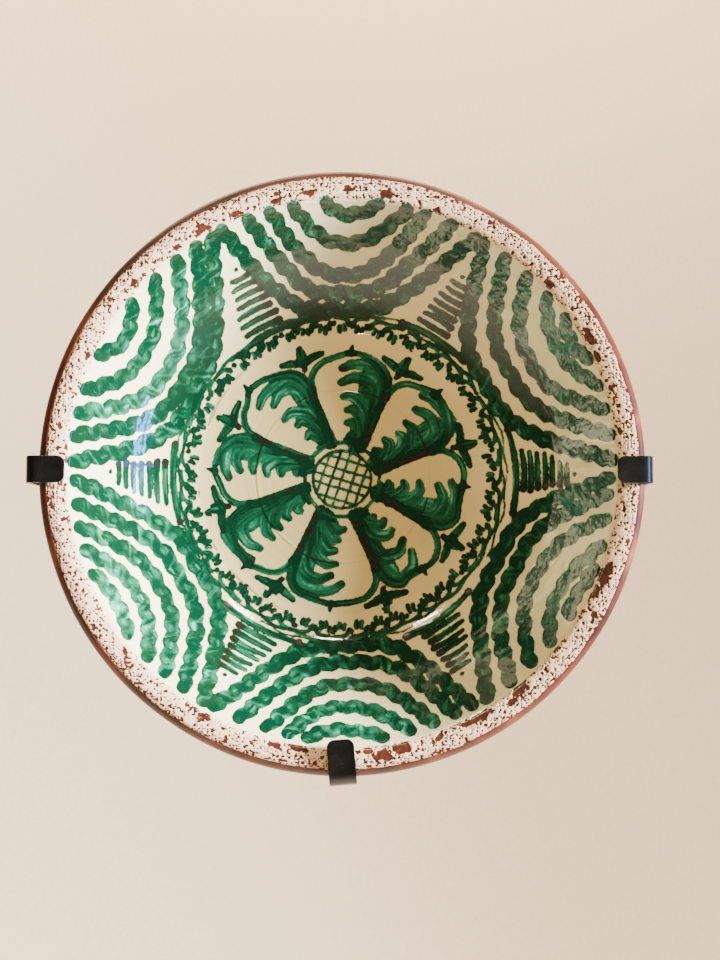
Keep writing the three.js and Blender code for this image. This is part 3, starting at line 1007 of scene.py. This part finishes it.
def make_clay(shape):
    inside, rim, lip = inside_profile(shape), rim_profile(shape), lip_profile()
    covered = np.vstack([[(0.0008, shape.floor)], inside, rim[1:][rim[1:, 0] < 0.2165]])
    covered = set_back(resample(covered, 0.012), CLAY_HIDDEN * MM)
    whole = np.vstack([rim[-4:], lip[1:], outside_profile(shape)[1:]])
    lip_line = resample(whole[: 4 + len(lip) + 2][whole[: 4 + len(lip) + 2, 0] > 0.0], 0.0009)
    side_line = resample(whole[4 + len(lip) :], 0.00135)
    front = np.vstack([lip_line, side_line[1:]])
    base = np.column_stack([np.linspace(shape.base - 0.018, 0.0008, 10), np.zeros(10)])
    skin = Revolved(front, base, 600, False)
    r, out = skin.radius[: skin.shown] / MM, skin.out[: skin.shown] / MM
    turn = skin.angle[: skin.shown]
    lip_share = smooth(62, 76, out)
    grooves = 0.16 * np.sin(out * 0.95 + 1.5 * cloud(turn * 4, out / 20, 41)) * (1 - lip_share)
    grooves += 0.12 * (cloud(turn * 9, out / 1.8, 42) - 0.5)
    dents = 0.5 * (cloud(turn * 3.2, out / 30, 43, 2) - 0.5) * smooth(2, 12, out)
    height = grooves + dents - CLAY_LEVEL * lip_share
    height -= (CLAY_HIDDEN - CLAY_LEVEL) * smooth(218.9, 217.9, r) * (out > 90)
    skin.raise_by(height * smooth(0.0, 3.0, out))
    drips = cloud(turn * 14, out / 55, 44, 2)
    reach = 72 - 34 * smooth(0.55, 0.8, cloud(turn * 5, np.full(len(turn), 0.5), 45, 2))
    marks = {
        "lip": lip_share,
        "run": 0.75 * smooth(0.62, 0.7, drips) * smooth(reach - 3, reach + 3, out) * (1 - lip_share),
    }
    skin.profile = np.vstack([covered, skin.profile])
    add_rows = len(covered) * skin.segments
    skin.radius = np.concatenate([np.repeat(covered[:, 0], skin.segments), skin.radius])
    skin.out = np.concatenate([np.repeat(covered[:, 1], skin.segments), skin.out])
    skin.angle = np.concatenate([skin.angle[:add_rows] * 0, skin.angle])
    skin.angle[:add_rows] = np.tile(skin.angle[add_rows : add_rows + skin.segments], len(covered))
    skin.shown += add_rows
    marks = {k: np.concatenate([np.full(add_rows, v[0]), v]) for k, v in marks.items()}
    return skin.build("clay_body", bpy.data.materials["Terracotta"], marks)


def dress(piece, body, slot, *nodes):
    """Ties a finished piece to its body and hides the nodes it stands for; its material slot is not used."""
    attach(piece, body)
    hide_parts(*nodes)


class BASIN_OT_dish(bpy.types.Operator):
    """Builds the clay body and its skins of slip, glaze and paint"""

    bl_idname = "basin.dish"
    bl_label = "Dish"

    def execute(self, context):
        shape = context.scene.basin_shape
        glaze_finish()
        slip_finish()
        clay_finish()
        for make in (make_clay, make_rim, make_wall, make_well):
            dress(make(shape), "dish", "painted_earthenware", "dish")
        return {"FINISHED"}


# ---- Hooks ----


def bent(path, t, h):
    """The place in a hook's plane at a distance t along its mid line and h to the outside.

    path is the start, the first direction in quarter turns, and then ("line", length) or
    ("bend", radius) parts; every bend is a quarter turn to the left.
    """
    (x, y), heading, parts = path
    for kind, size in parts:
        length = size if kind == "line" else size * math.pi / 2
        c, s = math.cos(heading), math.sin(heading)
        if t <= length or (kind, size) == parts[-1]:
            if kind == "line":
                return x + c * t + s * h, y + s * t - c * h
            turn = t / size
            cx, cy = x - s * size, y + c * size
            reach = size + h
            return (
                cx + reach * math.sin(heading + turn),
                cy - reach * math.cos(heading + turn),
            )
        if kind == "line":
            x, y = x + c * length, y + s * length
        else:
            x, y = x + size * (c - s), y + size * (s + c)
            heading += math.pi / 2
        t -= length
    return x, y


def rounded_plate(length, width, radii, holes):
    """The outline of a flat strip with rounded ends, radii (start, end), and round holes."""
    points = []
    for cx, sign_x, r in ((0, -1, radii[0]), (length, 1, radii[1])):
        order = ((-1, 1) if sign_x < 0 else (1, -1))
        for sz in order if sign_x > 0 else order:
            mid_x, mid_z = cx - sign_x * r, sz * (width / 2 - r)
            for k in range(9):
                a = math.pi / 2 * k / 8
                if (sign_x < 0) == (sz < 0):
                    a = math.pi / 2 - a
                points.append((mid_x + sign_x * r * math.cos(a), mid_z + sz * r * math.sin(a)))
    middle = np.mean(points, axis=0)
    points.sort(key=lambda p: math.atan2((p[1] - middle[1]) * length / width, p[0] - middle[0]))
    rings = [points]
    for at, radius in holes:
        turn = [2 * math.pi * k / 32 for k in range(32)]
        rings.append([(at + radius * math.cos(a), radius * math.sin(a)) for a in turn])
    return rings


def bent_strip(name, path, size, radii, holes, bevel, finish, place):
    """A strip cut flat with rounded corners, its edges eased, then bent along a path. Millimetres."""
    length, width, thickness = size
    curve = bpy.data.curves.new(name, "CURVE")
    curve.dimensions, curve.fill_mode = "2D", "BOTH"
    curve.extrude, curve.bevel_depth = thickness / 2 - bevel, bevel
    curve.offset, curve.bevel_resolution = -bevel, 3
    for ring in rounded_plate(length, width, radii, holes):
        spline = curve.splines.new("POLY")
        spline.points.add(len(ring) - 1)
        for point, (px, pz) in zip(spline.points, ring):
            point.co = (px, pz, 0, 1)
        spline.use_cyclic_u = True
    flat = linked(name + "_flat", curve)
    graph = bpy.context.evaluated_depsgraph_get()
    mesh = bpy.data.meshes.new_from_object(flat.evaluated_get(graph))
    bpy.data.objects.remove(flat)
    bm = bmesh.new()
    bm.from_mesh(mesh)
    bmesh.ops.remove_doubles(bm, verts=bm.verts, dist=0.01)
    for k in range(1, int(length)):
        bmesh.ops.bisect_plane(
            bm, geom=[*bm.verts, *bm.edges, *bm.faces], plane_co=(k, 0, 0), plane_no=(1, 0, 0)
        )
    bmesh.ops.triangulate(bm, faces=[f for f in bm.faces if len(f.verts) > 4])
    for v in bm.verts:
        px, py = bent(path, v.co.x, v.co.z)
        v.co = Vector((px, py, v.co.y))
    bmesh.ops.recalc_face_normals(bm, faces=bm.faces)
    for f in bm.faces:
        f.smooth = True
    bm.transform(place @ Matrix.Scale(MM, 4))
    bm.to_mesh(mesh)
    bm.free()
    mesh.name = name
    mesh.materials.clear()
    mesh.materials.append(finish)
    mesh.set_sharp_from_angle(angle=math.radians(40))
    return linked(name, mesh)


# Each hook: angle round the rim, how far its pad stands off the lip, how far its tip reaches in from
# the back of the leg, how far it leans in the wall's plane, and how round its tip's corners are.
HOOK_PLACES = {
    "left": (180, 4.0, 29.5, 0.0, 5.5),
    "right": (0, 0.0, 27.5, 0.0, 5.5),
    "bottom": (-90, 0.8, 34.0, 4.5, 5.5),
}
SCREW_INSETS = {"outer": 15.0, "inner": 40.0}


def hook_place(angle, lean):
    """From a hook's own frame (x out along the radius, y out of the wall, z across) to the row frame."""
    lip = RIM_RADIUS / MM
    leaned = (
        Matrix.Translation((lip, 0, 0))
        @ Matrix.Rotation(math.radians(lean), 4, "Y")
        @ Matrix.Translation((-lip, 0, 0))
    )
    turned = Matrix.Rotation(-math.radians(angle), 4, "Y") @ Matrix.Rotation(math.pi, 4, "X")
    return Matrix.Scale(MM, 4) @ turned @ leaned


def unscaled(place):
    return place @ Matrix.Scale(1 / MM, 4)


def strap_finish():
    """Black powder coat on mild steel: satin, with a faint orange peel."""
    look = Look("Black powder coat")
    broad, black = look.noise(60.0, 4.0), bpy.context.scene.basin_finish.strap_black
    tone, rough = look.ramp(broad, (0.35, black), (0.7, "#12110e")), look.between(broad, to=(0.18, 0.34))
    return look.finish(tone, rough, (look.noise(1100.0, 1.0), 0.25, 0.0002))


def rubber_finish():
    """Soft black rubber that guards the lip: matt, faintly grained."""
    look = Look("Black rubber")
    return look.finish(look.ramp(look.noise(400.0, 4.0), (0.4, "#191918"), (0.7, "#2b2a28")), 0.82)


def zinc_finish():
    """Zinc-plated steel: bright, slightly blue, finely brushed by the die."""
    look = Look("Zinc-plated steel")
    haze = look.noise(500.0, 3.0)
    tone = look.ramp(haze, (0.3, "#a9adb2"), (0.7, "#cfd1d3"))
    look.shader.inputs["Metallic"].default_value = 1.0
    return look.finish(tone, look.between(haze, to=(0.24, 0.42)))


def nylon_finish():
    """Grey nylon of a wall plug: waxy and a little cloudy."""
    look = Look("Grey nylon")
    return look.finish(look.ramp(look.noise(150.0, 2.0), (0.35, "#a9a79f"), (0.7, "#bdbbb2")), 0.5)


def lathe(points, segments=32):
    """A bmesh of a profile of (radius, y) points turned round the y axis, closed at the axis."""
    bm = bmesh.new()
    rings = []
    for r, y in points:
        if r < 1e-6:
            rings.append([bm.verts.new((0, y, 0))])
        else:
            turn = [2 * math.pi * k / segments for k in range(segments)]
            rings.append([bm.verts.new((r * math.cos(a), y, r * math.sin(a))) for a in turn])
    for low, high in zip(rings[:-1], rings[1:]):
        for k in range(segments):
            n = (k + 1) % segments
            corners = [low[k % len(low)], low[n % len(low)], high[n % len(high)], high[k % len(high)]]
            unique = list(dict.fromkeys(corners))
            if len(unique) > 2:
                bm.faces.new(unique)
    return bm


def finished(name, bm, finish, place, angle=35):
    """Turns a bmesh in mm into a placed mesh object."""
    bmesh.ops.recalc_face_normals(bm, faces=bm.faces)
    for f in bm.faces:
        f.smooth = True
    bm.transform(place)
    mesh = bpy.data.meshes.new(name)
    bm.to_mesh(mesh)
    bm.free()
    mesh.materials.append(finish)
    mesh.set_sharp_from_angle(angle=math.radians(angle))
    return linked(name, mesh)


def cross_recess(head_top):
    """The cutter for a cross drive: two tapered blades."""
    bm = bmesh.new()
    for turn in (0, math.pi / 2):
        wide, narrow, half, depth = 2.3, 1.0, 0.42, 1.7
        ring = []
        for y, reach in ((head_top + 0.6, wide * 1.15), (head_top - depth, narrow)):
            for sx, sz in ((-1, -1), (1, -1), (1, 1), (-1, 1)):
                x, z = sx * reach, sz * half * (1.0 if y > head_top else 0.7)
                c, s = math.cos(turn), math.sin(turn)
                ring.append(bm.verts.new((x * c - z * s, y, x * s + z * c)))
        for k in range(4):
            n = (k + 1) % 4
            bm.faces.new((ring[k], ring[n], ring[4 + n], ring[4 + k]))
        bm.faces.new(ring[:4][::-1])
        bm.faces.new(ring[4:])
    return bm


def repeat_tree(name, kind, defaults, build):
    """A geometry-nodes group with named number inputs; build returns the added geometry."""
    tree = bpy.data.node_groups.new(name, "GeometryNodeTree")
    tree.interface.new_socket("Geometry", in_out="INPUT", socket_type="NodeSocketGeometry")
    for key, value, low, high in defaults:
        socket = "NodeSocketInt" if isinstance(value, int) else "NodeSocketFloat"
        made = tree.interface.new_socket(key, in_out="INPUT", socket_type=socket)
        made.default_value, made.min_value, made.max_value = value, low, high
    tree.interface.new_socket("Geometry", in_out="OUTPUT", socket_type="NodeSocketGeometry")
    given = add(tree, "NodeGroupInput")
    added = build(tree, given.outputs)
    joined = add(tree, "GeometryNodeJoinGeometry")
    tree.links.new(given.outputs["Geometry"], joined.inputs[0])
    tree.links.new(added, joined.inputs[0])
    real = add(tree, "GeometryNodeRealizeInstances", {"Geometry": joined.outputs[0]})
    coat = add(tree, "GeometryNodeSetMaterial", {"Geometry": real.outputs[0]})
    coat.inputs["Material"].default_value = kind
    result = add(tree, "NodeGroupOutput")
    tree.links.new(coat.outputs[0], result.inputs[0])
    return tree


def thread_nodes(finish):
    """A screw's thread: a triangular ridge swept along a spiral."""

    def build(tree, given):
        spiral = add(
            tree, "GeometryNodeCurveSpiral",
            {
                "Resolution": 24, "Rotations": given["Turns"], "Start Radius": given["Core"],
                "End Radius": given["Core"], "Height": given["Length"],
            },
        )
        ridge = add(tree, "GeometryNodeCurvePrimitiveCircle", {"Resolution": 4, "Radius": given["Ridge"]})
        swept = add(
            tree, "GeometryNodeCurveToMesh",
            {"Curve": spiral.outputs[0], "Profile Curve": ridge.outputs[0], "Fill Caps": True},
        )
        # The spiral climbs along z; the screw points along -y.
        return add(
            tree, "GeometryNodeTransform",
            {"Geometry": swept.outputs[0], "Rotation": (math.pi / 2, 0, 0), "Translation": (0, -0.5, 0)},
        ).outputs[0]

    defaults = (
        ("Turns", 15.0, 1.0, 40.0), ("Core", 1.62, 0.5, 4.0), ("Length", 22.0, 1.0, 60.0),
        ("Ridge", 0.34, 0.05, 1.0),
    )
    return repeat_tree("Screw thread", finish, defaults, build)


def barb_nodes(finish):
    """A wall plug's barbs: one flared collar repeated along the sleeve."""

    def build(tree, given):
        line = add(
            tree, "GeometryNodeMeshLine", {"Count": given["Barbs"], "Offset": (0, -3.0, 0)},
        )
        collar = add(
            tree, "GeometryNodeMeshCone",
            {
                "Vertices": 28, "Radius Top": given["Sleeve"], "Radius Bottom": given["Flare"],
                "Depth": given["Rise"],
            },
            fill_type="NGON",
        )
        lying = add(
            tree, "GeometryNodeTransform",
            {"Geometry": collar.outputs[0], "Rotation": (math.pi / 2, 0, 0)},
        )
        placed = add(
            tree, "GeometryNodeInstanceOnPoints",
            {"Points": line.outputs[0], "Instance": lying.outputs[0]},
        )
        return add(
            tree, "GeometryNodeTransform",
            {"Geometry": placed.outputs[0], "Translation": (0, -5.0, 0)},
        ).outputs[0]

    defaults = (
        ("Barbs", 7, 1, 20), ("Sleeve", 2.75, 1.0, 6.0), ("Flare", 3.0, 1.0, 6.0), ("Rise", 1.6, 0.2, 5.0),
    )
    return repeat_tree("Plug barbs", finish, defaults, build)


def with_repeats(made, tree, place):
    """Runs a geometry-nodes group on an object in mm, keeps the result as a mesh and places it."""
    modifier = made.modifiers.new("Repeats", "NODES")
    modifier.node_group = tree
    graph = bpy.context.evaluated_depsgraph_get()
    mesh = bpy.data.meshes.new_from_object(made.evaluated_get(graph))
    made.modifiers.clear()
    mesh.transform(place)
    if place.is_negative:
        mesh.flip_normals()
    mesh.set_sharp_from_angle(angle=math.radians(35))
    made.data = mesh
    return made


def make_screw(name, finish, tree, place, under):
    tip, top = under - 32.0, under + 2.6
    head = [(0, top), (1.4, top - 0.05), (2.6, top - 0.35), (3.4, top - 0.9), (3.85, top - 1.6),
            (4.0, under + 0.5), (3.9, under + 0.05), (3.7, under), (2.0, under)]
    shank = [(2.0, under - 4), (1.65, under - 5.5), (1.6, tip + 6), (0.9, tip + 2.2), (0, tip)]
    solid = finished(name, lathe(head + shank, 40), finish, Matrix.Identity(4))
    cutter = finished(name + "_drive", cross_recess(top), finish, Matrix.Identity(4))
    cut = solid.modifiers.new("Drive", "BOOLEAN")
    cut.operation, cut.object, cut.solver = "DIFFERENCE", cutter, "EXACT"
    graph = bpy.context.evaluated_depsgraph_get()
    solid.data = bpy.data.meshes.new_from_object(solid.evaluated_get(graph))
    solid.modifiers.clear()
    bpy.data.objects.remove(cutter)
    return with_repeats(solid, tree, place)


def make_plug(name, finish, tree, place, gap):
    hollow = 2.3
    ring = [(hollow, -gap), (hollow, -30.0), (2.6, -30.0), (2.75, -27.5), (2.75, -gap - 0.8),
            (3.5, -gap - 0.8), (3.6, -gap - 0.6), (3.6, -gap - 0.1), (3.5, -gap), (hollow, -gap)]
    bm = lathe(ring, 28)
    bmesh.ops.remove_doubles(bm, verts=bm.verts, dist=1e-4)
    return with_repeats(finished(name, bm, finish, Matrix.Identity(4)), tree, place)


class BASIN_OT_hooks(bpy.types.Operator):
    """Builds the three strap hooks with their pads, screws and wall plugs"""

    bl_idname = "basin.hooks"
    bl_label = "Hooks"

    def execute(self, context):
        kind = context.scene.basin_hooks
        steel, rubber, zinc, nylon = strap_finish(), rubber_finish(), zinc_finish(), nylon_finish()
        thread, barbs = thread_nodes(zinc), barb_nodes(nylon)
        t, gap = kind.thickness, kind.gap
        lining = t + kind.pad + 2 * gap
        for side, (angle, stand_off, reach, lean, corner) in HOOK_PLACES.items():
            place = hook_place(angle, lean)
            leg, front = RIM_RADIUS / MM + stand_off + lining, DISH_HEIGHT / MM + lining
            parts = (
                ("line", kind.foot - kind.wall_bend),
                ("bend", kind.wall_bend - t / 2),
                ("line", front - kind.front_bend - kind.wall_bend),
                ("bend", kind.front_bend - t / 2),
                ("line", reach - kind.front_bend),
            )
            length = sum(x if k == "line" else x * math.pi / 2 for k, x in parts)
            holes = [(kind.foot - inset, 2.3) for inset in SCREW_INSETS.values()]
            strap = bent_strip(
                f"strap_{side}", ((leg - kind.foot, t / 2), 0.0, parts),
                (length, kind.width, t), (5.5, corner), holes, 0.45, steel, unscaled(place),
            )
            dress(strap, "hooks", "black_strap", f"hook_{side}")
            inner = kind.front_bend - t - gap - kind.pad / 2
            parts = (
                ("line", 14.0),
                ("bend", inner),
                ("line", reach - 1.5 - kind.front_bend),
            )
            length = sum(x if k == "line" else x * math.pi / 2 for k, x in parts)
            start = (leg - t - gap - kind.pad / 2, front - kind.front_bend - 14.0)
            pad = bent_strip(
                f"lining_{side}", (start, math.pi / 2, parts),
                (length, kind.width - 2, kind.pad), (1.5, 3.0), [], 0.3, rubber, unscaled(place),
            )
            dress(pad, "hooks", "rubber_pad", f"pad_{side}")
            for which, inset in SCREW_INSETS.items():
                spot = place @ Matrix.Translation((leg - inset, 0, 0))
                name = f"{side}_{which}"
                screw = make_screw(f"woodscrew_{name}", zinc, thread, spot, t + gap)
                dress(screw, "hooks", "zinc_screw", f"screw_{name}")
                plug = make_plug(f"plug_{name}", nylon, barbs, spot, gap)
                dress(plug, "hooks", "nylon_plug", f"wall_plug_{name}")
        return {"FINISHED"}


# ---- Stage ----


def lamp(name, kind, place, target, colour, power, size):
    data = bpy.data.lights.new(name, kind)
    data.energy, data.color = power, linear(colour)[:3]
    if kind == "AREA":
        data.size = size
    else:
        data.shadow_soft_size = size
    made = linked(name, data)
    made.location = place
    made.rotation_euler = (Vector(target) - Vector(place)).to_track_quat("-Z", "Y").to_euler()
    return made


def make_sweep():
    """A pale floor that curves up into a backdrop well behind the basin."""
    floor, back, front, top, bend = -1.3, 2.7, -3.4, 3.4, 1.5
    line = [(front, floor), (back - bend, floor)]
    for k in range(1, 25):
        a = math.pi / 2 * k / 24
        line.append((back - bend + bend * math.sin(a), floor + bend - bend * math.cos(a)))
    line.append((back, top))
    bm = bmesh.new()
    rows = [[bm.verts.new((x, y, z)) for y, z in line] for x in (-6, 6)]
    for k in range(len(line) - 1):
        bm.faces.new((rows[0][k], rows[1][k], rows[1][k + 1], rows[0][k + 1]))
    look = Look("Pale backdrop")
    paper = look.finish(look.ramp(look.noise(90.0, 3.0), (0.3, "#f0dcb8"), (0.7, "#f4e3c2")), 0.9)
    return finished("backdrop", bm, paper, Matrix.Identity(4), 60)


RIM_MIDDLE = (0, -0.088, 0)  # where the camera's distance is measured from, in metres

# Two panes of sky to the right, which the glaze mirrors: how far along y and how high, in metres.
PANES = ((-0.62, -0.12), (-0.88, -0.05))

# Ceiling spots in front of the basin, in metres, and their diameters.
SPOTS = (
    ((-0.9, -2.3, 1.7), 0.3), ((0.15, -2.7, 2.0), 0.25), ((1.1, -2.1, 1.6), 0.3),
)


class BASIN_OT_stage(bpy.types.Operator):
    """Sets a pale sweep, window light from the right, warm ceiling spots and the camera"""

    bl_idname = "basin.stage"
    bl_label = "Stage"

    def execute(self, context):
        setup = context.scene.basin_stage
        make_sweep()
        # The window's own light is kept out of reflections, which the panes give.
        window = lamp("window", "AREA", (2.7, -0.8, 0.45), (-0.1, -0.05, 0), "#eaf1ff", setup.window, 0.6)
        window.data.spread, window.visible_glossy = math.radians(75), False
        for k, (side, up) in enumerate(PANES):
            pane = lamp(f"pane_{k}", "AREA", (2.7, side, up), (0, -0.05, 0), "#6aa4ff", setup.pane, 0.13)
            pane.data.shape, pane.data.size_y = "RECTANGLE", 1.5
        for k, (place, wide) in enumerate(SPOTS):
            spot = lamp(f"spot_{k}", "AREA", place, (0, -0.03, 0), "#ffe4c0", setup.spots, wide)
            spot.data.shape, spot.data.spread = "DISK", math.radians(50)
        wash = lamp("backdrop_wash", "AREA", (0, 0.9, 2.9), (0, 2.6, 0.1), "#ffe9c8", setup.backdrop, 2.0)
        wash.data.shape, wash.data.size_y = "RECTANGLE", 0.6
        wash.data.size = 4.0
        world = bpy.data.worlds.new("Room air")
        world.use_nodes = True
        sky = world.node_tree.nodes["Background"]
        sky.inputs["Color"].default_value = linear("#fbe3c0")
        sky.inputs["Strength"].default_value = setup.air
        context.scene.world = world
        data = bpy.data.cameras.new("camera")
        data.lens, data.sensor_width = setup.lens, 36.0
        camera = linked("camera", data)
        level = math.cos(setup.elevation)
        sine, cosine = math.sin(setup.azimuth), math.cos(setup.azimuth)
        back = Vector((level * sine, -level * cosine, math.sin(setup.elevation)))
        camera.location = Vector(RIM_MIDDLE) + back * setup.distance
        level = math.cos(setup.tilt)
        ahead = Vector((level * math.sin(setup.pan), level * math.cos(setup.pan), math.sin(setup.tilt)))
        camera.rotation_euler = ahead.to_track_quat("-Z", "Y").to_euler()
        context.scene.camera = camera
        return {"FINISHED"}


# ---- Panel ----


class BASIN_PT_panel(bpy.types.Panel):
    """The basin's sizes, colours and building steps"""

    bl_idname = "BASIN_PT_panel"
    bl_label = "Painted basin"
    bl_space_type = "VIEW_3D"
    bl_region_type = "UI"
    bl_category = "Basin"

    def draw(self, context):
        scene = context.scene
        for group in (scene.basin_shape, scene.basin_finish, scene.basin_hooks, scene.basin_stage):
            box = self.layout.box()
            for key in group.__annotations__:
                box.prop(group, key)
        for step in STEPS:
            self.layout.operator(step.bl_idname)


STEPS = (BASIN_OT_dish, BASIN_OT_hooks, BASIN_OT_stage)
GROUPS = {
    "basin_shape": BasinShape,
    "basin_finish": BasinFinish,
    "basin_hooks": HookKind,
    "basin_stage": StageSettings,
}


def register():
    for kind in (*GROUPS.values(), *STEPS, BASIN_PT_panel):
        bpy.utils.register_class(kind)
    for key, kind in GROUPS.items():
        setattr(bpy.types.Scene, key, bpy.props.PointerProperty(type=kind))


def unregister():
    for key in GROUPS:
        delattr(bpy.types.Scene, key)
    for kind in (BASIN_PT_panel, *reversed(STEPS), *reversed(GROUPS.values())):
        bpy.utils.unregister_class(kind)


def main():
    register()
    bpy.ops.basin.dish()
    bpy.ops.basin.hooks()
    bpy.ops.basin.stage()


if __name__ == "__main__":
    main()
